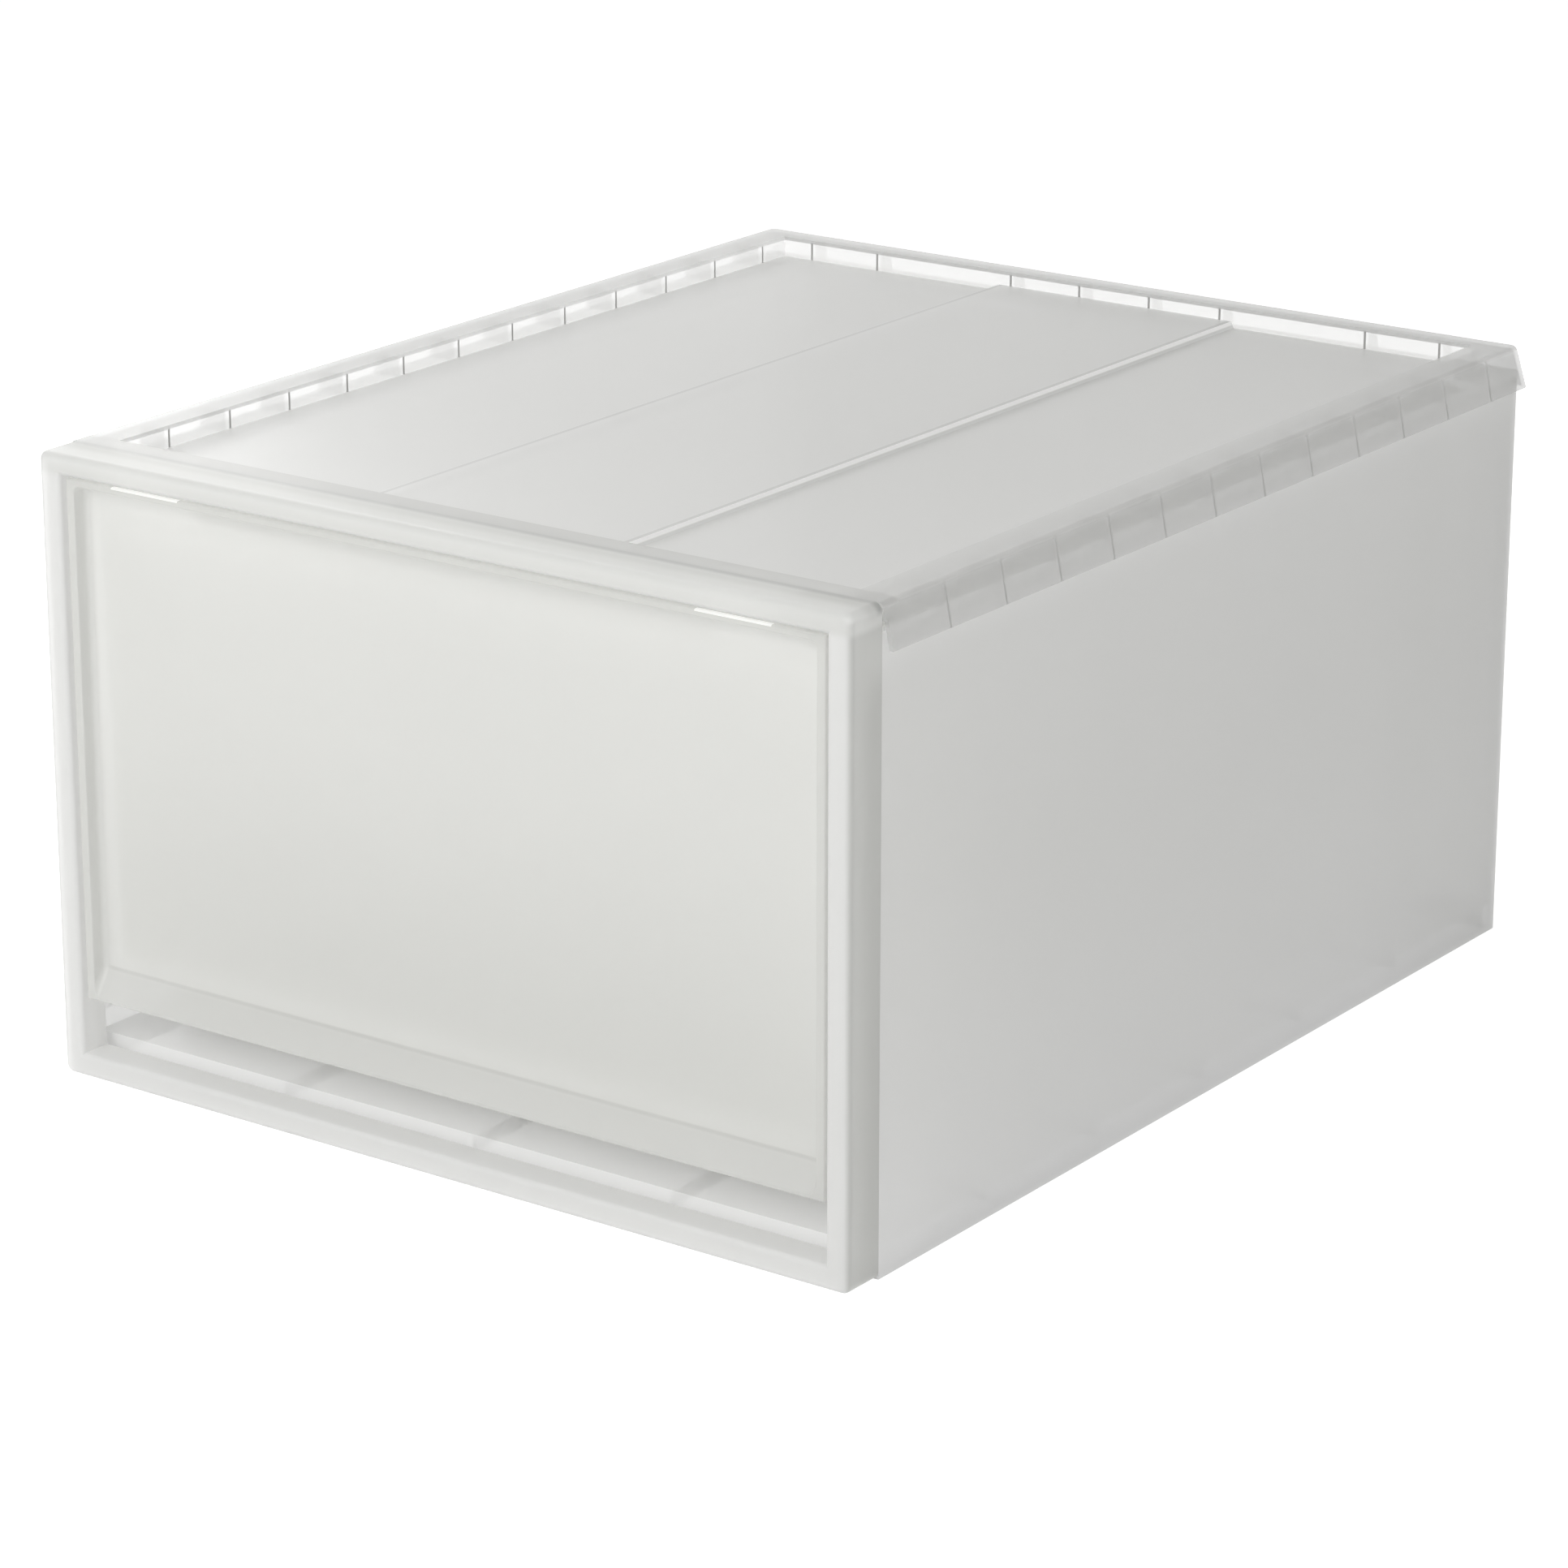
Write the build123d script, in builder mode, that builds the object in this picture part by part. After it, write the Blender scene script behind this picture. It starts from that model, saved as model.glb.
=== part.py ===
from build123d import *

import os

os.makedirs("parts", exist_ok=True)

# A translucent moulded drawer case, in millimetres, +Z up, with its front facing -Y.
# The origin is on the floor, in the middle of the footprint.

# Case
case_width = 432
case_depth = 546
case_height = 290
panel_wall = 2.2
wall_edge_share = 0.9

# Front frame
frame_depth = 22
frame_side_face = 11.5
frame_top_face = 9.7
frame_bottom_face = 11
frame_front_wall = 2.6
frame_wall = 2.2
frame_corner_radius = 4
frame_edge_radius = 3
opening_edge_radius = 2.4
stop_lip_width = 275
stop_lip_drop = 8.5
stop_lip_gap = 1
stop_lip_wall = 2.2

# Tongues that join the panels to the frame's channel
tongue_wall = 2
tongue_reach = 8
tongue_overlap = 6
tongue_end_gap = 24

# Lid
rim_side_width = 18
rim_front_width = 11
rim_back_width = 14
rim_wall = 2
rim_edge_radius = 3
rim_corner_radius = 5
skirt_height = 20
skirt_flare = 4
skirt_wall = 1.8
pan_depth = 10
pan_wall = 2.2
middle_width = 134
middle_rise = 3
middle_step_run = 1.5
rib_wall = 1.4
rib_height = 10
side_rib_pitch = 40.7
side_rib_start = 43
back_rib_margin = 17
back_rib_shares = (1 / 9, 3 / 9, 7 / 9, 1)

# Base deck
deck_height = 14
deck_rib_wall = 1.8
deck_rib_height = 7
deck_rib_rows = 5
deck_rib_columns = 3

# Drawer front
front_side_gap = 2
front_top_clearance = 1.5
front_setback = 10
front_wall = 2.5
flange_setback = 2.5
flange_side_width = 4.5
flange_top_width = 3.1
flange_edge_radius = 0.7
tray_wall = 2.2
tray_corner_radius = 3
crease_height = 52
lip_height = 37.5
lip_face_height = 1.8
lip_wall = 2.2

# Drawer tub
tub_wall = 2.2
tub_side_inset = 7
tub_draft = 4
tub_rim_width = 6
tub_rim_wall = 2
tub_rim_drop = 3.3
tub_back_gap = 4
tub_front_radius = 6
tub_back_radius = 22
tub_floor_radius = 6
pocket_reach = 22
pocket_slope = 4
pocket_radius = 22
skid_height = 3.2
skid_width = 6
skid_side_inset = 30
skid_end_inset = 30
skid_chamfer = 2.5
glide_clearance = 0.3
stop_tab_width = 90
stop_tab_clearance = 0.7
gusset_wall = 2
gusset_pitch = 35
gusset_count = 3

# Places that the pieces share
front = -(case_depth + skirt_flare) / 2
frame_back = front + frame_depth
back = front + case_depth
case_side = case_width / 2
inner_side = case_side - panel_wall
inner_back = back - panel_wall
opening_side = case_side - frame_side_face
opening_bottom = frame_bottom_face
opening_top = case_height - frame_top_face
wall_top = case_height - rim_wall - rib_height
pan_side = case_side - rim_side_width
pan_front = frame_back + rim_front_width
pan_back = back - rim_back_width
pan_top = case_height - pan_depth
skirt_bottom = case_height - skirt_height
side_rib_count = int((pan_back - frame_back - side_rib_start) / side_rib_pitch) + 1
flange_side = opening_side - front_side_gap
flange_top = opening_top - front_top_clearance
flange_front = front + flange_setback
tray_side = flange_side - flange_side_width
tray_top = flange_top - flange_top_width
plate_front = front + front_setback
plate_back = plate_front + front_wall
stop_lip_bottom = opening_top - stop_lip_drop
stop_lip_setback = front_setback + front_wall + stop_lip_gap
jamb_depth = stop_lip_setback + stop_lip_wall
tub_side = flange_side - tub_side_inset
tub_top = stop_lip_bottom - tub_rim_drop
tub_bottom = deck_height + glide_clearance + skid_height
tub_back = inner_back - tub_back_gap - tub_rim_width
tab_roof = min(opening_top, pan_top - pan_wall + middle_rise)
stop_tab_top = tab_roof - stop_tab_clearance
frame_plane = Plane.XZ.offset(-front)


def rectangle_between(left, bottom, right, top, mode=Mode.ADD):
    """A rectangle in the current sketch between two opposite corners."""
    with Locations(((left + right) / 2, (bottom + top) / 2)):
        Rectangle(right - left, top - bottom, mode=mode)


def skirt_out(height):
    """How far the skirt's outer face stands out past the walls at a height."""
    return skirt_flare * (case_height - height) / skirt_height


# Front frame: a channel open to the back, with a stop lip under the middle of the top rail
with BuildPart() as front_frame:
    with BuildSketch(frame_plane):
        with Locations((0, case_height / 2)):
            RectangleRounded(case_width, case_height, frame_corner_radius)
        rectangle_between(-opening_side, opening_bottom, opening_side, opening_top, Mode.SUBTRACT)
    extrude(amount=-frame_depth)
    front_face = front_frame.faces().sort_by(Axis.Y)[0]
    fillet(front_face.outer_wire().edges(), frame_edge_radius)
    front_face = front_frame.faces().sort_by(Axis.Y)[0]
    fillet(front_face.inner_wires()[0].edges(), opening_edge_radius)
    with BuildSketch(frame_plane.offset(-frame_front_wall)):
        rectangle_between(-inner_side, frame_wall, inner_side, case_height - frame_wall)
        rectangle_between(
            -opening_side - frame_wall,
            opening_bottom - frame_wall,
            opening_side + frame_wall,
            opening_top + frame_wall,
            Mode.SUBTRACT,
        )
    extrude(amount=-(frame_depth - frame_front_wall), mode=Mode.SUBTRACT)
    with BuildSketch(frame_plane.offset(-jamb_depth)):
        rectangle_between(-inner_side, frame_wall, inner_side, case_height - frame_wall)
    extrude(amount=-(frame_depth - jamb_depth), mode=Mode.SUBTRACT)
    with BuildSketch(frame_plane.offset(-stop_lip_setback)):
        rectangle_between(-stop_lip_width / 2, stop_lip_bottom, stop_lip_width / 2, opening_top)
    extrude(amount=-stop_lip_wall)
front_frame.part.label = "front_frame"
export_step(front_frame.part, "parts/front_frame.step")


# Side panels: plain sheets that carry the lid's ribs, with a tongue inside the frame's channel
with BuildPart() as right_side_panel:
    with BuildSketch(Plane.YZ.offset(inner_side)):
        rectangle_between(frame_back, 0, back, wall_top)
    extrude(amount=panel_wall)
    rear_edges = right_side_panel.edges().filter_by(Axis.Z).group_by(Axis.Y)[-1]
    fillet(rear_edges.sort_by(Axis.X)[-1], wall_edge_share * panel_wall)
    with BuildSketch(Plane.YZ.offset(inner_side)):
        rectangle_between(
            frame_back - tongue_reach,
            tongue_end_gap,
            frame_back + tongue_overlap,
            wall_top - tongue_end_gap,
        )
    extrude(amount=-tongue_wall)
right_side_panel.part.label = "right_side_panel"
export_step(right_side_panel.part, "parts/right_side_panel.step")

with BuildPart() as left_side_panel:
    mirror(right_side_panel.part, about=Plane.YZ)
left_side_panel.part.label = "left_side_panel"
export_step(left_side_panel.part, "parts/left_side_panel.step")


# Back panel: a sheet between the side panels, with a flange along each of them above the deck
with BuildPart() as back_panel:
    with BuildSketch(Plane.XZ.offset(-inner_back)):
        rectangle_between(-inner_side, 0, inner_side, wall_top)
    extrude(amount=-panel_wall)
    for side in (-1, 1):
        with BuildSketch(Plane.XZ.offset(-inner_back)):
            rectangle_between(
                min(side * inner_side, side * (inner_side - tongue_wall)),
                deck_height,
                max(side * inner_side, side * (inner_side - tongue_wall)),
                wall_top,
            )
        extrude(amount=tongue_overlap)
back_panel.part.label = "back_panel"
export_step(back_panel.part, "parts/back_panel.step")


# Base panel: a raised deck with a turned-down edge, ribs below and a tongue in the frame's channel
with BuildPart() as base_panel:
    with BuildSketch(Plane.XY):
        rectangle_between(-inner_side, frame_back, inner_side, inner_back)
    extrude(amount=deck_height)
    with BuildSketch(Plane.XY):
        rectangle_between(
            -inner_side + panel_wall,
            frame_back + panel_wall,
            inner_side - panel_wall,
            inner_back - panel_wall,
        )
    extrude(amount=deck_height - panel_wall, mode=Mode.SUBTRACT)
    with BuildSketch(Plane.XY.offset(deck_height - panel_wall)):
        with Locations((0, (frame_back + inner_back) / 2)):
            with GridLocations(0, (inner_back - frame_back) / (deck_rib_rows + 1), 1, deck_rib_rows):
                Rectangle(2 * inner_side - panel_wall, deck_rib_wall)
            with GridLocations(2 * inner_side / (deck_rib_columns + 1), 0, deck_rib_columns, 1):
                Rectangle(deck_rib_wall, inner_back - frame_back - panel_wall)
    extrude(amount=-deck_rib_height)
    with BuildSketch(Plane.XZ.offset(-frame_back)):
        rectangle_between(
            -opening_side + tongue_end_gap,
            frame_wall,
            opening_side - tongue_end_gap,
            frame_wall + tongue_wall,
        )
    extrude(amount=tongue_reach)
base_panel.part.label = "base_panel"
export_step(base_panel.part, "parts/base_panel.step")


def flared_block(bottom, top, inset, front_inset):
    """A block between two heights whose side and back faces follow the skirt, set in by inset."""
    with BuildPart() as block:
        for height in (bottom, top):
            reach = skirt_out(height) - inset
            with BuildSketch(Plane.XY.offset(height)):
                rectangle_between(
                    -case_side - reach, frame_back + front_inset, case_side + reach, back + reach
                )
        loft(ruled=True)
        rear_corners = block.edges().group_by(Axis.Z)[1].sort_by(Axis.Y)[-2:]
        fillet(rear_corners, rim_corner_radius - inset)
    return block.part


def rib_profile(inner, wall):
    """A rib's outline: from the pan's wall to the middle of the skirt, resting on the wall panels."""
    foot = wall + skirt_out(wall_top) - skirt_wall / 2
    head = wall + skirt_out(case_height - rim_wall) - skirt_wall / 2
    rib_top = case_height - rim_wall
    return [(inner, wall_top), (foot, wall_top), (head, rib_top), (inner, rib_top)]


# Lid: rim and flared skirt, ribs across the rim channel, and a pan whose middle third stands higher
with BuildPart() as top_panel:
    add(flared_block(skirt_bottom, case_height, 0, 0))
    rim_face = top_panel.faces().sort_by(Axis.Z)[-1]
    fillet(rim_face.edges().sort_by(Axis.Y)[1:], rim_edge_radius)
    add(flared_block(skirt_bottom, case_height - rim_wall, skirt_wall, rim_wall), mode=Mode.SUBTRACT)
    with BuildSketch(Plane.XY.offset(pan_top - pan_wall)):
        rectangle_between(
            -pan_side - pan_wall, pan_front - pan_wall, pan_side + pan_wall, pan_back + pan_wall
        )
    extrude(amount=pan_depth + pan_wall - rim_wall)
    with BuildSketch(Plane.XY.offset(pan_top)):
        rectangle_between(-pan_side, pan_front, pan_side, pan_back)
    extrude(amount=pan_depth, mode=Mode.SUBTRACT)
    with BuildSketch(Plane.XZ.offset(-pan_front)):
        with BuildLine():
            Polyline(
                (-middle_width / 2 - middle_step_run, pan_top),
                (-middle_width / 2, pan_top + middle_rise),
                (middle_width / 2, pan_top + middle_rise),
                (middle_width / 2 + middle_step_run, pan_top),
                close=True,
            )
        make_face()
    extrude(amount=pan_front - pan_back)
    with BuildSketch(Plane.XY.offset(pan_top - pan_wall)):
        rectangle_between(
            -middle_width / 2 + pan_wall,
            pan_front - pan_wall,
            middle_width / 2 - pan_wall,
            pan_back + pan_wall,
        )
    extrude(amount=middle_rise, mode=Mode.SUBTRACT)
    with BuildSketch(Plane.XZ.offset(-frame_back)):
        rectangle_between(
            -case_side - skirt_flare, skirt_bottom, case_side + skirt_flare, opening_top + frame_wall
        )
    extrude(amount=-rim_wall, mode=Mode.SUBTRACT)
    for number in range(side_rib_count):
        with BuildSketch(Plane.XZ.offset(-(frame_back + side_rib_start + number * side_rib_pitch))):
            with BuildLine():
                Polyline(rib_profile(pan_side + pan_wall, case_side), close=True)
            make_face()
            mirror(about=Plane.YZ)
        extrude(amount=rib_wall / 2, both=True)
    for share in back_rib_shares:
        for side in (-1, 1):
            with BuildSketch(Plane.YZ.offset(side * share * (pan_side - back_rib_margin))):
                with BuildLine():
                    Polyline(rib_profile(pan_back + pan_wall, back), close=True)
                make_face()
            extrude(amount=rib_wall / 2, both=True)
    with BuildSketch(Plane.XZ.offset(-frame_back)):
        rectangle_between(
            -opening_side + tongue_end_gap,
            case_height - frame_wall - tongue_wall,
            opening_side - tongue_end_gap,
            case_height - frame_wall,
        )
    extrude(amount=tongue_reach)
top_panel.part.label = "top_panel"
export_step(top_panel.part, "parts/top_panel.step")


def tray_hollow():
    """The hollow before the plate, shut in by the flange's walls and the slope of the lip."""
    with BuildPart() as hollow:
        with BuildSketch(Plane.YZ.offset(-tray_side)):
            with BuildLine():
                Polyline(
                    (flange_front, tray_top),
                    (plate_front, tray_top),
                    (plate_front, crease_height),
                    (flange_front, lip_height + lip_face_height),
                    close=True,
                )
            make_face()
        extrude(amount=2 * tray_side)
        mouth = hollow.faces().sort_by(Axis.Y)[0]
        fillet(hollow.edges() - mouth.edges(), tray_corner_radius)
    return hollow.part


# Drawer front: a plate sunk behind a narrow flange, its lower edge turned forward into a grip lip
with BuildPart() as drawer_front:
    with BuildSketch(Plane.YZ.offset(-tray_side - tray_wall)):
        with BuildLine():
            Polyline(
                (flange_front, tray_top + tray_wall),
                (plate_back, tray_top + tray_wall),
                (plate_back, crease_height),
                (flange_front + lip_wall, lip_height),
                (flange_front, lip_height),
                close=True,
            )
        make_face()
    extrude(amount=2 * (tray_side + tray_wall))
    with BuildSketch(frame_plane.offset(-flange_setback)):
        rectangle_between(-flange_side, lip_height, flange_side, flange_top)
    extrude(amount=-lip_wall)
    add(tray_hollow(), mode=Mode.SUBTRACT)
    flange_face = drawer_front.faces().sort_by(Axis.Y)[0]
    fillet(flange_face.edges(), flange_edge_radius)
drawer_front.part.label = "drawer_front"
export_step(drawer_front.part, "parts/drawer_front.step")


def tub_block(inset):
    """The tub's outer form, set in by inset, with its top left higher than the rim."""
    head = tub_top + tub_wall + tub_rim_wall
    with BuildPart() as block:
        with BuildSketch(Plane.YZ):
            with BuildLine():
                Polyline(
                    (plate_back, head),
                    (plate_back, crease_height),
                    (plate_back + pocket_reach, crease_height),
                    (plate_back + pocket_reach + pocket_slope, tub_bottom),
                    (tub_back - tub_draft, tub_bottom),
                    (tub_back, head),
                    close=True,
                )
            make_face()
            offset(amount=-inset, kind=Kind.INTERSECTION)
        extrude(amount=tub_side, both=True)
        with BuildSketch(Plane.XZ):
            with BuildLine():
                Polyline(
                    (-tub_side, head),
                    (-tub_side + tub_draft, tub_bottom),
                    (tub_side - tub_draft, tub_bottom),
                    (tub_side, head),
                    close=True,
                )
            make_face()
            offset(amount=-inset, kind=Kind.INTERSECTION)
        extrude(amount=case_depth, both=True, mode=Mode.INTERSECT)
        uprights = block.edges().filter_by(lambda edge: edge.bounding_box().size.Z > crease_height / 2)
        front_corners, pocket_corners, back_corners = uprights.group_by(Axis.Y)
        fillet(front_corners, tub_front_radius - inset)
        fillet(pocket_corners, pocket_radius - inset)
        fillet(back_corners, tub_back_radius - inset)
        fillet(block.faces().sort_by(Axis.Z)[0].edges(), tub_floor_radius - inset)
    return block.part


# Drawer tub: a drafted open box with a finger pocket below its front, skids, a rim and a stop tab
with BuildPart() as drawer_tub:
    add(tub_block(0))
    split(bisect_by=Plane.XY.offset(tub_top), keep=Keep.BOTTOM)
    with BuildSketch(Plane.XY.offset(tub_top)) as rim_outline:
        rectangle_between(
            -tub_side - tub_rim_width, plate_back, tub_side + tub_rim_width, tub_back + tub_rim_width
        )
        fillet(rim_outline.vertices().sort_by(Axis.Y)[-2:], tub_back_radius + tub_rim_width)
    extrude(amount=-tub_rim_wall)
    add(tub_block(tub_wall), mode=Mode.SUBTRACT)
    with BuildSketch(Plane.XZ.offset(-tub_back)):
        rectangle_between(-stop_tab_width / 2, tub_top, stop_tab_width / 2, stop_tab_top)
    extrude(amount=tub_wall)
    for number in range(gusset_count):
        with BuildSketch(Plane.YZ.offset((number - (gusset_count - 1) / 2) * gusset_pitch)):
            with BuildLine():
                Polyline(
                    (tub_back, tub_top),
                    (tub_back + tub_rim_width, tub_top),
                    (tub_back, stop_tab_top),
                    close=True,
                )
            make_face()
        extrude(amount=gusset_wall / 2, both=True)
    with BuildSketch(Plane.XY.offset(tub_bottom)):
        for side in (-1, 1):
            skid_place = side * (tub_side - tub_draft - skid_side_inset)
            rectangle_between(
                skid_place - skid_width / 2,
                plate_back + pocket_reach + pocket_slope + skid_end_inset,
                skid_place + skid_width / 2,
                tub_back - tub_draft - skid_end_inset,
            )
    extrude(amount=-skid_height)
    skid_ends = drawer_tub.edges().filter_by(Axis.X).group_by(Axis.Z)[0]
    chamfer(skid_ends, skid_chamfer)
drawer_tub.part.label = "drawer_tub"
export_step(drawer_tub.part, "parts/drawer_tub.step")
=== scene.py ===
"""Looks of a frosted drawer case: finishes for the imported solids, a white studio and the photo's camera."""

import functools
import logging
import math
import operator
from dataclasses import dataclass, field
from enum import Enum
from typing import Any, Optional, Union

import bmesh
import bpy
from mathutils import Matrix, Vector


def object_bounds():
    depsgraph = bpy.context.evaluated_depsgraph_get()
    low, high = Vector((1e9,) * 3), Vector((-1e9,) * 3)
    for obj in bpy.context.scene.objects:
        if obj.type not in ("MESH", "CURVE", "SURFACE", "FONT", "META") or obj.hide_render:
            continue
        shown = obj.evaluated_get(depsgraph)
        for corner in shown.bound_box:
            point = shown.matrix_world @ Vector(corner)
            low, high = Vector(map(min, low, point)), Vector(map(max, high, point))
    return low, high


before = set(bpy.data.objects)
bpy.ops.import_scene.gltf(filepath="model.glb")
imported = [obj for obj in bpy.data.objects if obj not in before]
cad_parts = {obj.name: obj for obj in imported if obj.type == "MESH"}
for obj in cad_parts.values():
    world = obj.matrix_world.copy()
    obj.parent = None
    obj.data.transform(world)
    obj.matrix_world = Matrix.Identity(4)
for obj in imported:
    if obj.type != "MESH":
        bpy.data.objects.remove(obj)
CAD_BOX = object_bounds()

LOG = logging.getLogger("drawer_case")
MILLIMETRE = 0.001
NOISE_MIDDLE = 0.5
MIX_FIRST, MIX_SECOND, MIX_RESULT = 6, 7, 2  # the colour sockets of a Mix node

Colour = tuple[float, float, float]
Point = tuple[float, float, float]
Number = Union[float, "Value"]
Tint = Union[Colour, bpy.types.NodeSocket]
Span = tuple[Optional[float], Optional[float]]

BLACK: Colour = (0.0, 0.0, 0.0)
WHITE: Colour = (1.0, 1.0, 1.0)
OPEN: Span = (None, None)


class MathKind(Enum):
    """Operations that a Value can add to a node tree."""

    ADD = "ADD"
    SUBTRACT = "SUBTRACT"
    MULTIPLY = "MULTIPLY"
    LESS_THAN = "LESS_THAN"
    GREATER_THAN = "GREATER_THAN"
    ABSOLUTE = "ABSOLUTE"
    REMAINDER = "FLOORED_MODULO"


class RayKind(Enum):
    """Kinds of rays that meet the studio's surroundings."""

    CAMERA = "Is Camera Ray"
    GLOSSY = "Is Glossy Ray"
    TRANSMISSION = "Is Transmission Ray"
    DIFFUSE = "Is Diffuse Ray"


class CaseNode(Enum):
    """Solids that stay where they stand."""

    FRAME = "front_frame"
    LID = "top_panel"
    LEFT = "left_side_panel"
    RIGHT = "right_side_panel"
    BACK = "back_panel"
    BASE = "base_panel"


class DrawerNode(Enum):
    """Solids that slide out together."""

    TUB = "drawer_tub"
    FRONT = "drawer_front"


class Value:
    """A shader socket whose Python arithmetic adds Math nodes."""

    def __init__(self, tree: "ShaderTree", socket: bpy.types.NodeSocket) -> None:
        """Keeps the tree and the socket.

        Args:
            tree: The tree that new Math nodes go into.
            socket: The output socket that holds the value.
        """
        self.tree = tree
        self.socket = socket

    def _math(self, kind: MathKind, first: Number, second: Number) -> "Value":
        """Adds one Math node.

        Args:
            kind: The operation.
            first: The left operand.
            second: The right operand.

        Returns:
            The node's result.
        """
        made = self.tree.node("ShaderNodeMath", {"operation": kind.value}, {0: first, 1: second})
        return Value(self.tree, made.outputs[0])

    def __add__(self, other: Number) -> "Value":
        """Value plus other."""
        return self._math(MathKind.ADD, self, other)

    __radd__ = __add__

    def __sub__(self, other: Number) -> "Value":
        """Value minus other."""
        return self._math(MathKind.SUBTRACT, self, other)

    def __rsub__(self, other: Number) -> "Value":
        """Other minus value."""
        return self._math(MathKind.SUBTRACT, other, self)

    def __mul__(self, other: Number) -> "Value":
        """Value times other."""
        return self._math(MathKind.MULTIPLY, self, other)

    __rmul__ = __mul__

    def __mod__(self, other: Number) -> "Value":
        """What is left of the value after whole steps of the other."""
        return self._math(MathKind.REMAINDER, self, other)

    def __lt__(self, other: Number) -> "Value":
        """1 where the value is below the other, else 0."""
        return self._math(MathKind.LESS_THAN, self, other)

    def __gt__(self, other: Number) -> "Value":
        """1 where the value is above the other, else 0."""
        return self._math(MathKind.GREATER_THAN, self, other)

    def __abs__(self) -> "Value":
        """Value without its sign."""
        return self._math(MathKind.ABSOLUTE, self, 0.0)

    def ramp(self, middle: float, width: float) -> "Value":
        """A soft step.

        Args:
            middle: Where the step is half way.
            width: How far it takes from 0 to 1.

        Returns:
            0 below the step and 1 above it.
        """
        inputs = {"Value": self, "From Min": middle - width / 2, "From Max": middle + width / 2}
        made = self.tree.node("ShaderNodeMapRange", {"interpolation_type": "SMOOTHSTEP"}, inputs)
        return Value(self.tree, made.outputs[0])


@dataclass(frozen=True)
class Grain:
    """A noise over a piece: blotches in a metre, octaves, and the share of each finer octave."""

    cycles: float
    octaves: float
    softness: float


class ShaderTree:
    """A node tree that is filled by plain calls."""

    def __init__(self, tree: bpy.types.NodeTree) -> None:
        """Empties the tree.

        Args:
            tree: The node tree of a material or a world.
        """
        self.tree = tree
        self.tree.nodes.clear()

    def node(self, kind: str, settings: dict[str, Any], inputs: dict[Any, Any]) -> bpy.types.Node:
        """Adds a node, sets it up, then fills its sockets.

        Args:
            kind: Blender's name of the node type.
            settings: Properties of the node, set first.
            inputs: Sockets by name or number, each with a number, a colour, a Value or a socket.

        Returns:
            The new node.
        """
        made = self.tree.nodes.new(kind)
        for name, setting in settings.items():
            setattr(made, name, setting)
        for key, given in inputs.items():
            source = given.socket if isinstance(given, Value) else given
            if isinstance(source, bpy.types.NodeSocket):
                self.tree.links.new(source, made.inputs[key])
            else:
                made.inputs[key].default_value = source
        return made

    @functools.cached_property
    def where(self) -> bpy.types.NodeSocket:
        """A point's place on the piece, in metres."""
        return self.node("ShaderNodeTexCoord", {}, {}).outputs["Object"]

    @functools.cached_property
    def place(self) -> tuple[Value, Value, Value]:
        """How far a point lies from the piece's middle plane, and its y and z.

        Returns:
            The three in millimetres.
        """
        split = self.node("ShaderNodeSeparateXYZ", {}, {"Vector": self.where})
        across, along, up = (Value(self, socket) * (1.0 / MILLIMETRE) for socket in split.outputs)
        return abs(across), along, up

    def noise(self, grain: Grain) -> Value:
        """A noise on the piece's own coordinates.

        Args:
            grain: How coarse and how rough it is.

        Returns:
            A value around a half.
        """
        inputs = {
            "Vector": self.where,
            "Scale": grain.cycles,
            "Detail": grain.octaves,
            "Roughness": grain.softness,
        }
        return Value(self, self.node("ShaderNodeTexNoise", {}, inputs).outputs["Fac"])

    def mix_colour(self, factor: Value, first: Tint, second: Colour) -> bpy.types.NodeSocket:
        """A colour between two.

        Args:
            factor: 0 for the first, 1 for the second.
            first: A linear colour, or the socket of one.
            second: A linear colour.

        Returns:
            The colour socket.
        """
        start = first if isinstance(first, bpy.types.NodeSocket) else (*first, 1.0)
        inputs = {"Factor": factor, MIX_FIRST: start, MIX_SECOND: (*second, 1.0)}
        return self.node("ShaderNodeMix", {"data_type": "RGBA"}, inputs).outputs[MIX_RESULT]


@dataclass(frozen=True)
class Zone:
    """A part of a piece where the plastic looks other than on the rest of it, most often by painted shade,
    highlight or glow.

    A zone has its own tint. A share that is None there stays as it is around the zone.
    """

    tint: Colour
    glow: Optional[float] = None
    clear: Optional[float] = None
    # Painted glow: emission that stands in for light, or None to leave it alone.
    painted_glow: Optional[float] = None

    def mask(self, tree: ShaderTree) -> Value:
        """Where the zone lies.

        Args:
            tree: The material's tree.

        Returns:
            1 in the zone, and 0 around it.
        """
        raise NotImplementedError


@dataclass(frozen=True)
class BoxZone(Zone):
    """A zone in a box, in millimetres, the same at both sides of the middle plane.

    An open end of a span reaches past the piece.
    """

    across: Span = OPEN
    along: Span = OPEN
    up: Span = OPEN
    fade: float = 0.5

    def mask(self, tree: ShaderTree) -> Value:
        """Where the box lies.

        Args:
            tree: The material's tree.

        Returns:
            1 in the box, and 0 around it, with a soft edge as wide as the fade.
        """
        steps: list[Value] = []
        for where, (low, high) in zip(tree.place, (self.across, self.along, self.up)):
            if low is not None:
                steps.append(where.ramp(low, self.fade))
            if high is not None:
                steps.append(1.0 - where.ramp(high, self.fade))
        return functools.reduce(operator.mul, steps)


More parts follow.
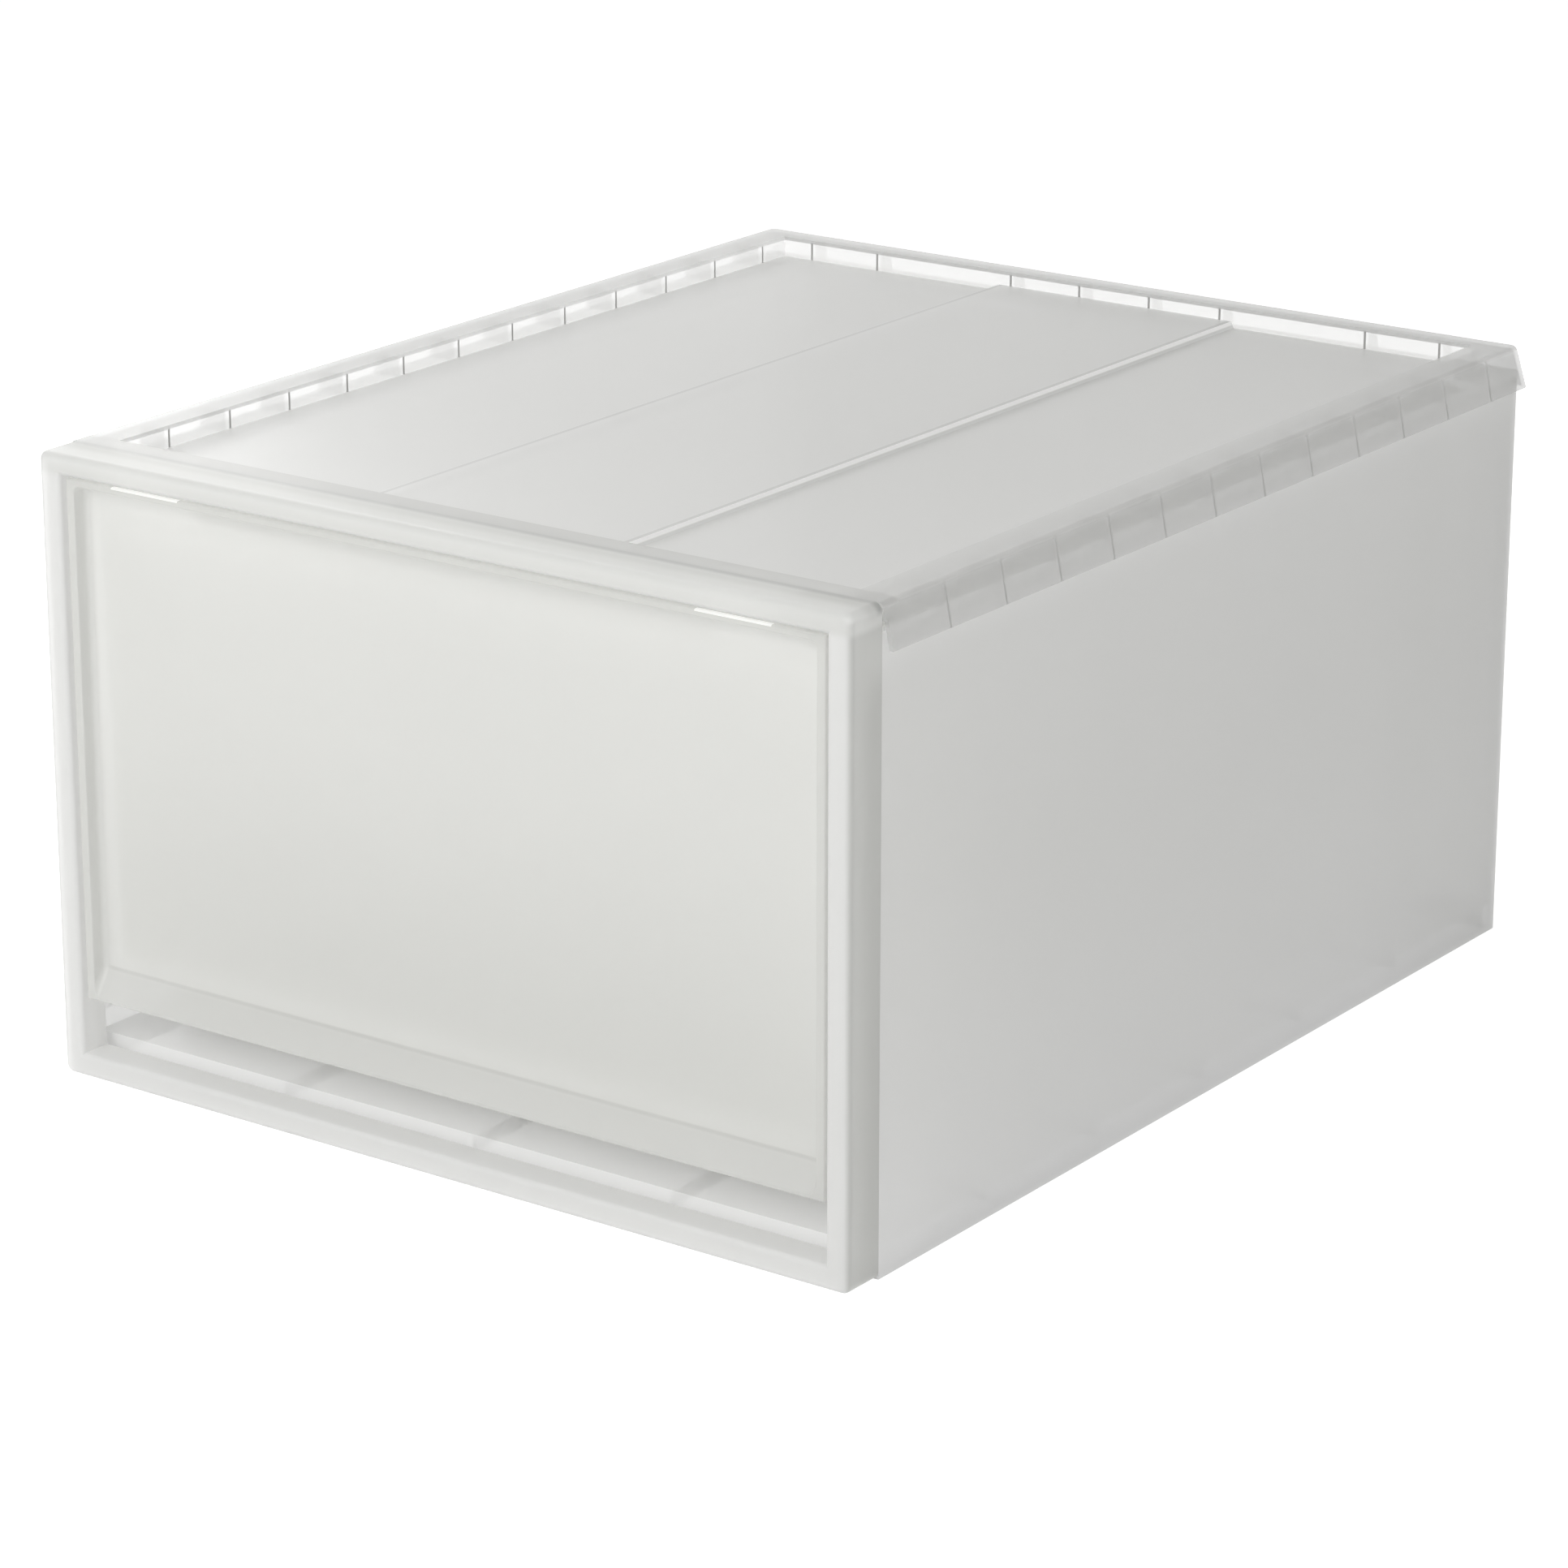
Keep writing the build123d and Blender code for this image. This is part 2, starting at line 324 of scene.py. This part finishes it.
@dataclass(frozen=True)
class RibShadeLines(Zone):
    """Painted shade in upright lines, in millimetres, where the ribs in the rim's channel stand behind its
    walls.
    """

    rim_top: float = 288.6
    first: float = -210.0
    pitch: float = 40.7
    half_width: float = 0.6
    back_ribs: tuple[float, ...] = (20.1, 60.3, 140.8, 181.0)
    skirt_lean: float = 0.2
    side_skin: float = 273.25
    back_skin: float = 328.25
    pan_wall: tuple[float, float] = (197.5, 256.5)
    pan_skin: tuple[float, float] = (198.5, 257.5)

    def mask(self, tree: ShaderTree) -> Value:
        """Where the lines lie on the skirt and on the wall round the pan.

        Args:
            tree: The material's tree.

        Returns:
            1 on the lines, and 0 elsewhere.
        """
        across, along, up = tree.place
        start = self.first - self.pitch / 2
        past = (along - start) % self.pitch - self.pitch / 2
        at_side = (abs(past) < self.half_width) * (along > start)
        at_back = functools.reduce(
            operator.add, (abs(across - rib) < self.half_width for rib in self.back_ribs)
        )
        flare = up * self.skirt_lean
        side_skin = (across + flare > self.side_skin) + (across < self.pan_skin[0])
        back_skin = (along + flare > self.back_skin) + (along < self.pan_skin[1])
        on_side = at_side * side_skin * (across > self.pan_wall[0]) * (along < self.pan_wall[1])
        on_back = at_back * back_skin * (along > self.pan_wall[1])
        return (on_side + on_back) * (up < self.rim_top)


@dataclass(frozen=True)
class FrostedPlastic:
    """Moulded translucent polypropylene: satin skin, milky body, some sight through it.

    Every wall has two faces, so the shares here are those of one face.
    """

    slot: str
    tint: Colour
    shade: Colour
    glow: float
    clear: float
    roughness: float
    zones: tuple[Zone, ...]
    mottle: Grain = Grain(7.0, 3.0, 0.5)
    skin: Grain = Grain(1400.0, 2.0, 0.6)
    skin_depth: float = 0.02 * MILLIMETRE
    sink: Grain = Grain(14.0, 1.0, 0.4)
    sink_depth: float = 0.15 * MILLIMETRE
    roughness_swing: float = 0.12
    refraction: float = 1.49
    coat: float = 0.0
    coat_roughness: float = 0.25

    def colour(self, tree: ShaderTree, mottle: Value, masks: list[Value]) -> bpy.types.NodeSocket:
        """The skin's colour, with the zones' tints mixed in, most of them painted shade or highlight.

        Args:
            tree: The material's tree.
            mottle: Slow swings over the surface.
            masks: Where each zone lies.

        Returns:
            The colour socket.
        """
        skin = tree.mix_colour(mottle, self.tint, self.shade)
        for mask, zone in zip(masks, self.zones):
            skin = tree.mix_colour(mask, skin, zone.tint)
        return skin

    def painted_glow(self, tree: ShaderTree, masks: list[Value]) -> Optional[bpy.types.NodeSocket]:
        """Painted glow: emission that stands in for light led along the sheet to an edge.

        Args:
            tree: The material's tree.
            masks: Where each zone lies.

        Returns:
            The socket of its colour, or nothing where no edge is lit.
        """
        lit: Optional[bpy.types.NodeSocket] = None
        for mask, zone in zip(masks, self.zones):
            if zone.painted_glow is not None:
                around = BLACK if lit is None else lit
                lit = tree.mix_colour(mask, around, (zone.painted_glow,) * 3)
        return lit

    def share(self, masks: list[Value], whole: float, parts: list[Optional[float]]) -> Number:
        """A share of the light, which differs in some zones.

        Args:
            masks: Where each zone lies.
            whole: The share outside the zones.
            parts: The share in each zone, or None where a zone leaves it alone.

        Returns:
            The share over the whole piece.
        """
        share: Number = whole
        for mask, part in zip(masks, parts):
            if part is not None:
                share = mask * part + (1.0 - mask) * share
        return share

    def material(self) -> bpy.types.Material:
        """Builds the finish the first time, and finds it again later.

        Returns:
            The material.
        """
        name = f"{self.slot}_finish"
        if name in bpy.data.materials:
            return bpy.data.materials[name]
        made = bpy.data.materials.new(name)
        made.use_nodes = True
        tree = ShaderTree(made.node_tree)
        masks = [zone.mask(tree) for zone in self.zones]
        mottle = tree.noise(self.mottle)
        height = tree.noise(self.skin) * self.skin_depth + tree.noise(self.sink) * self.sink_depth
        bump = tree.node("ShaderNodeBump", {}, {"Strength": 1.0, "Distance": 1.0, "Height": height})
        inputs = {
            "Base Color": self.colour(tree, mottle, masks),
            "Roughness": (mottle - NOISE_MIDDLE) * self.roughness_swing + self.roughness,
            "IOR": self.refraction,
            "Coat Weight": self.coat,
            "Coat Roughness": self.coat_roughness,
            "Normal": bump.outputs["Normal"],
        }
        # The zones' painted glow goes in as emission.
        lit = self.painted_glow(tree, masks)
        if lit is not None:
            inputs.update({"Emission Color": lit, "Emission Strength": 1.0})
        skin = tree.node("ShaderNodeBsdfPrincipled", {}, inputs).outputs[0]
        through = tree.node("ShaderNodeBsdfTranslucent", {}, {"Color": (*self.tint, 1.0)}).outputs[0]
        glow = self.share(masks, self.glow, [zone.glow for zone in self.zones])
        body = tree.node("ShaderNodeMixShader", {}, {0: glow, 1: skin, 2: through}).outputs[0]
        sight = tree.node("ShaderNodeBsdfTransparent", {}, {}).outputs[0]
        clear = self.share(masks, self.clear, [zone.clear for zone in self.zones])
        behind = Value(tree, tree.node("ShaderNodeNewGeometry", {}, {}).outputs["Backfacing"])
        clear = behind * (1.0 - clear) + clear
        whole = tree.node("ShaderNodeMixShader", {}, {0: clear, 1: body, 2: sight}).outputs[0]
        tree.node("ShaderNodeOutputMaterial", {}, {"Surface": whole})
        return made


# Painted shade: the frame's side faces darker, as less light falls there.
FRAME_FLANK_SHADE = BoxZone(tint=(0.58, 0.585, 0.56), across=(214.8, None), fade=2.4, glow=0.4)
# Painted shade: the frame's top darker, as little light falls from above.
FRAME_TOP_SHADE = BoxZone(tint=(0.79, 0.795, 0.77), up=(281.0, None), fade=4.0, glow=0.54)
# Painted shade: the frame's top darkens towards the lid.
FRAME_REAR_EDGE_SHADE = BoxZone(
    tint=(0.58, 0.585, 0.56), along=(-263.0, None), up=(286.0, None), fade=8.0, glow=0.5
)
# Painted shadow in the seam between frame and lid.
FRAME_SEAM_SHADOW = BoxZone(
    tint=(0.36, 0.365, 0.35), along=(-256.5, None), up=(286.0, None), fade=4.0, glow=0.3
)
MILKY_FRAME = FrostedPlastic(
    slot="milky_frame",
    tint=(0.93, 0.93, 0.92),
    shade=(0.91, 0.91, 0.90),
    glow=0.52,
    clear=0.04,
    roughness=0.38,
    zones=(FRAME_FLANK_SHADE, FRAME_TOP_SHADE, FRAME_REAR_EDGE_SHADE, FRAME_SEAM_SHADOW),
)

PAN_LENGTH: Span = (-241.6, 256.6)
# The rim's land keeps a darker tint than the pan: partly denser plastic, partly painted shade.
LID_LAND_SHADE = BoxZone(tint=(0.8, 0.8, 0.785), up=(288.4, None), fade=0.8, clear=0.25)
# Painted shade on the rim's front land, behind the frame's top rail.
LID_FRONT_LAND_SHADE = BoxZone(
    tint=(0.56, 0.56, 0.545), along=(None, -242.0), up=(288.0, None), fade=0.8, clear=0.12
)
# Painted glow on the wall round the pan, standing in for light from behind it; its sight through is the
# plastic's own.
LID_PAN_WALL_GLOW = BoxZone(
    tint=(0.97, 0.97, 0.96),
    across=(None, 198.6),
    along=(None, 257.6),
    up=(None, 288.2),
    fade=0.2,
    glow=0.2,
    clear=0.62,
    painted_glow=0.65,
)
LID_PAN = BoxZone(
    tint=(0.96, 0.96, 0.95),
    across=(None, 197.6),
    along=PAN_LENGTH,
    fade=0.2,
    glow=0.48,
    clear=0.16,
    painted_glow=0.0,
)
LID_STEP_SHADE = BoxZone(tint=(0.70, 0.70, 0.69), across=(64.6, 66.9), along=PAN_LENGTH, fade=0.6)
# Painted highlight and glow on the crest of the step beside the raised middle.
LID_STEP_CREST_HIGHLIGHT = BoxZone(
    tint=(0.95, 0.95, 0.94), across=(66.9, 67.8), along=PAN_LENGTH, fade=0.4, clear=0.0, painted_glow=0.3
)
# Painted shade where the rim's ribs stand behind the skirt and the pan wall.
LID_RIB_SHADE = RibShadeLines(tint=(0.32, 0.32, 0.31), clear=0.042, painted_glow=0.0)
# The lid's own tint shows on the skirt and rim: partly denser plastic, partly painted shade.
FROSTED_LID = FrostedPlastic(
    slot="frosted_lid",
    tint=(0.78, 0.78, 0.77),
    shade=(0.76, 0.76, 0.75),
    glow=0.6,
    clear=0.42,
    roughness=0.36,
    coat=0.4,
    zones=(LID_LAND_SHADE, LID_FRONT_LAND_SHADE, LID_PAN_WALL_GLOW, LID_PAN, LID_STEP_SHADE, LID_STEP_CREST_HIGHLIGHT, LID_RIB_SHADE),
)

# Painted light: the walls lighter towards the foot, standing in for light bounced up off the floor.
WALL_FOOT_PAINTED_LIGHT = BoxZone(tint=(0.97, 0.97, 0.965), up=(None, 90.0), fade=180.0, glow=0.3)
# Painted shade: the walls darker towards the back.
WALL_REAR_SHADE = BoxZone(tint=(0.84, 0.84, 0.825), along=(215.0, None), fade=170.0)
FROSTED_WALL = FrostedPlastic(
    slot="frosted_wall",
    tint=(0.965, 0.965, 0.96),
    shade=(0.945, 0.945, 0.94),
    glow=0.5,
    clear=0.12,
    roughness=0.42,
    coat=0.5,
    zones=(WALL_FOOT_PAINTED_LIGHT, WALL_REAR_SHADE),
)

# Painted light: the grip pocket under the lip lighter, lifting its shade.
TUB_POCKET_PAINTED_LIGHT = BoxZone(
    tint=(0.97, 0.97, 0.96), along=(None, -225.0), up=(None, 60.0), fade=10.0, glow=0.55, clear=0.2
)
FROSTED_DRAWER = FrostedPlastic(
    slot="frosted_drawer",
    tint=(0.945, 0.945, 0.93),
    shade=(0.925, 0.927, 0.91),
    glow=0.7,
    clear=0.16,
    roughness=0.42,
    zones=(TUB_POCKET_PAINTED_LIGHT,),
)

# Painted shade: the plate darker towards the bottom.
PLATE_FOOT_SHADE = BoxZone(tint=(0.82, 0.822, 0.80), up=(None, 120.0), fade=160.0)
# Painted shade on the grip lip.
GRIP_LIP_SHADE = BoxZone(tint=(0.74, 0.742, 0.72), up=(None, 51.0), fade=3.0)
# Painted shade in the crease above the lip.
LIP_CREASE_SHADE = BoxZone(tint=(0.64, 0.642, 0.62), up=(51.0, 52.6), fade=1.0)
# Painted shade on the flange's sides beside the jambs.
FLANGE_SIDE_SHADE = BoxZone(tint=(0.72, 0.722, 0.70), across=(195.0, None), fade=5.0)
# Painted shade on the flange's top under the frame's rail.
FLANGE_TOP_SHADE = BoxZone(tint=(0.68, 0.682, 0.66), up=(273.8, None), fade=3.0)
# Painted glow in the slits over the flange, standing in for light through the gaps.
FLANGE_SLIT_GLOW = BoxZone(
    tint=(0.97, 0.97, 0.95), across=(138.0, 176.0), up=(278.0, None), fade=0.5, clear=0.0, painted_glow=0.4
)
FROSTED_FRONT = FrostedPlastic(
    slot="frosted_front",
    tint=(0.97, 0.972, 0.95),
    shade=(0.95, 0.952, 0.93),
    glow=0.56,
    clear=0.14,
    roughness=0.4,
    coat=0.5,
    zones=(PLATE_FOOT_SHADE, GRIP_LIP_SHADE, LIP_CREASE_SHADE, FLANGE_SIDE_SHADE, FLANGE_TOP_SHADE, FLANGE_SLIT_GLOW),
)


@dataclass
class SubAssembly:
    """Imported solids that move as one, each with its finish."""

    finishes: dict[Enum, FrostedPlastic]

    def dress(self) -> None:
        """Gives each solid its finish, which also names its slot."""
        for node, finish in self.finishes.items():
            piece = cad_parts[node.value]
            piece.data.materials.clear()
            piece.data.materials.append(finish.material())
            LOG.info("%s wears %s", node.value, finish.slot)


@dataclass
class CaseShell(SubAssembly):
    """The standing case: frame, lid, walls and deck."""

    finishes: dict[Enum, FrostedPlastic] = field(
        default_factory=lambda: {
            CaseNode.FRAME: MILKY_FRAME,
            CaseNode.LID: FROSTED_LID,
            CaseNode.LEFT: FROSTED_WALL,
            CaseNode.RIGHT: FROSTED_WALL,
            CaseNode.BACK: FROSTED_WALL,
            CaseNode.BASE: FROSTED_WALL,
        }
    )


@dataclass
class Drawer(SubAssembly):
    """The sliding drawer: tub and front plate."""

    finishes: dict[Enum, FrostedPlastic] = field(
        default_factory=lambda: {DrawerNode.TUB: FROSTED_DRAWER, DrawerNode.FRONT: FROSTED_FRONT}
    )


@dataclass(frozen=True)
class Softbox:
    """A square soft lamp that points at a spot on the object."""

    name: str
    place: Point
    target: Point
    side: float
    watts: float

    def build(self) -> None:
        """Adds the lamp."""
        lamp = bpy.data.lights.new(self.name, "AREA")
        lamp.shape = "SQUARE"
        lamp.size = self.side
        lamp.energy = self.watts
        made = bpy.data.objects.new(self.name, lamp)
        made.visible_camera = False
        made.location = self.place
        aim = Vector(self.target) - Vector(self.place)
        made.rotation_mode = "QUATERNION"
        made.rotation_quaternion = aim.to_track_quat("-Z", "Y")
        bpy.context.scene.collection.objects.link(made)
        LOG.info("lamp %s", self.name)


@dataclass
class Studio:
    """White surroundings: floor, world light and soft lamps."""

    floor_radius: float = 14.0
    floor_sides: int = 64
    floor_colour: Colour = (0.88, 0.88, 0.88)
    floor_lift: float = 0.7
    ambient: float = 0.25
    lamps: tuple[Softbox, ...] = (
        Softbox("front_low", (0.1, -2.4, 0.35), (0.0, 0.0, 0.15), 1.6, 19.0),
        Softbox("front_high", (0.0, -1.9, 1.9), (0.0, 0.0, 0.15), 1.6, 33.0),
        Softbox("right", (2.2, 0.1, 0.5), (0.0, 0.0, 0.1), 1.6, 9.5),
        Softbox("near_left", (-0.9, 0.3, 0.85), (0.0, 0.0, 0.15), 0.7, 6.0),
        Softbox("left_back", (-2.4, 3.2, 1.2), (0.0, 0.0, 0.15), 1.6, 3.5),
    )

    def seen_rays(self, tree: ShaderTree) -> Value:
        """Adds up the rays that see white surroundings.

        Light that milky plastic scatters on its way through counts as transmission and as diffuse.
        Such a ray only carries light.

        Args:
            tree: The tree that asks.

        Returns:
            1 for rays that see the surroundings, and 0 for rays that only carry light.
        """
        path = tree.node("ShaderNodeLightPath", {}, {})
        camera, glossy, transmission, diffuse = (Value(tree, path.outputs[kind.value]) for kind in RayKind)
        return camera + glossy + transmission * (1.0 - diffuse)

    def build_world(self) -> None:
        """Makes a world that is white to look at and dimmer as a light."""
        world = bpy.data.worlds.new("white_studio")
        world.use_nodes = True
        bpy.context.scene.world = world
        tree = ShaderTree(world.node_tree)
        strength = self.seen_rays(tree) * (1.0 - self.ambient) + self.ambient
        inputs = {"Color": (*WHITE, 1.0), "Strength": strength}
        sky = tree.node("ShaderNodeBackground", {}, inputs).outputs[0]
        tree.node("ShaderNodeOutputWorld", {}, {"Surface": sky})

    def floor_material(self) -> bpy.types.Material:
        """A matte floor that is lifted to white where it is looked at.

        Returns:
            The material.
        """
        made = bpy.data.materials.new("pale_floor")
        made.use_nodes = True
        tree = ShaderTree(made.node_tree)
        matte = tree.node("ShaderNodeBsdfDiffuse", {}, {"Color": (*self.floor_colour, 1.0)}).outputs[0]
        strength = self.seen_rays(tree) * self.floor_lift
        lift = tree.node("ShaderNodeEmission", {}, {"Strength": strength}).outputs[0]
        both = tree.node("ShaderNodeAddShader", {}, {0: matte, 1: lift}).outputs[0]
        tree.node("ShaderNodeOutputMaterial", {}, {"Surface": both})
        return made

    def build_floor(self) -> None:
        """Makes a round floor under the object."""
        shape = bmesh.new()
        bmesh.ops.create_circle(
            shape, cap_ends=True, segments=self.floor_sides, radius=self.floor_radius
        )
        bmesh.ops.translate(shape, vec=(0.0, 0.0, CAD_BOX[0].z), verts=shape.verts)
        mesh = bpy.data.meshes.new("floor")
        shape.to_mesh(mesh)
        shape.free()
        floor = bpy.data.objects.new("floor", mesh)
        bpy.context.scene.collection.objects.link(floor)
        mesh.materials.append(self.floor_material())

    def build(self) -> None:
        """Builds the surroundings and the lamps."""
        bpy.context.scene.view_settings.view_transform = "Standard"
        self.build_world()
        self.build_floor()
        for lamp in self.lamps:
            lamp.build()


@dataclass(frozen=True)
class PhotoCamera:
    """The photo's viewpoint, from which the drawer front and the right wall show."""

    place: Point = (1.3842, -1.9439, 0.8990)
    turn_deg: float = 35.721
    tilt_deg: float = 18.416
    focal_pixels: float = 6696.4
    image_pixels: float = 1932.0
    sensor: float = 36.0

    def build(self) -> None:
        """Adds the camera and makes it the scene's own."""
        lens = bpy.data.cameras.new("photo_camera")
        lens.sensor_width = self.sensor
        lens.lens = self.focal_pixels / self.image_pixels * self.sensor
        made = bpy.data.objects.new("photo_camera", lens)
        turn, tilt = math.radians(self.turn_deg), math.radians(self.tilt_deg)
        level = math.cos(tilt)
        forward = Vector((-math.sin(turn) * level, math.cos(turn) * level, -math.sin(tilt)))
        made.location = self.place
        made.rotation_mode = "QUATERNION"
        made.rotation_quaternion = forward.to_track_quat("-Z", "Y")
        bpy.context.scene.collection.objects.link(made)
        bpy.context.scene.camera = made


def main() -> None:
    """Dresses the object, then builds the studio and the camera."""
    logging.basicConfig(level=logging.INFO, format="%(name)s: %(message)s")
    CaseShell().dress()
    Drawer().dress()
    Studio().build()
    PhotoCamera().build()


if __name__ == "__main__":
    main()
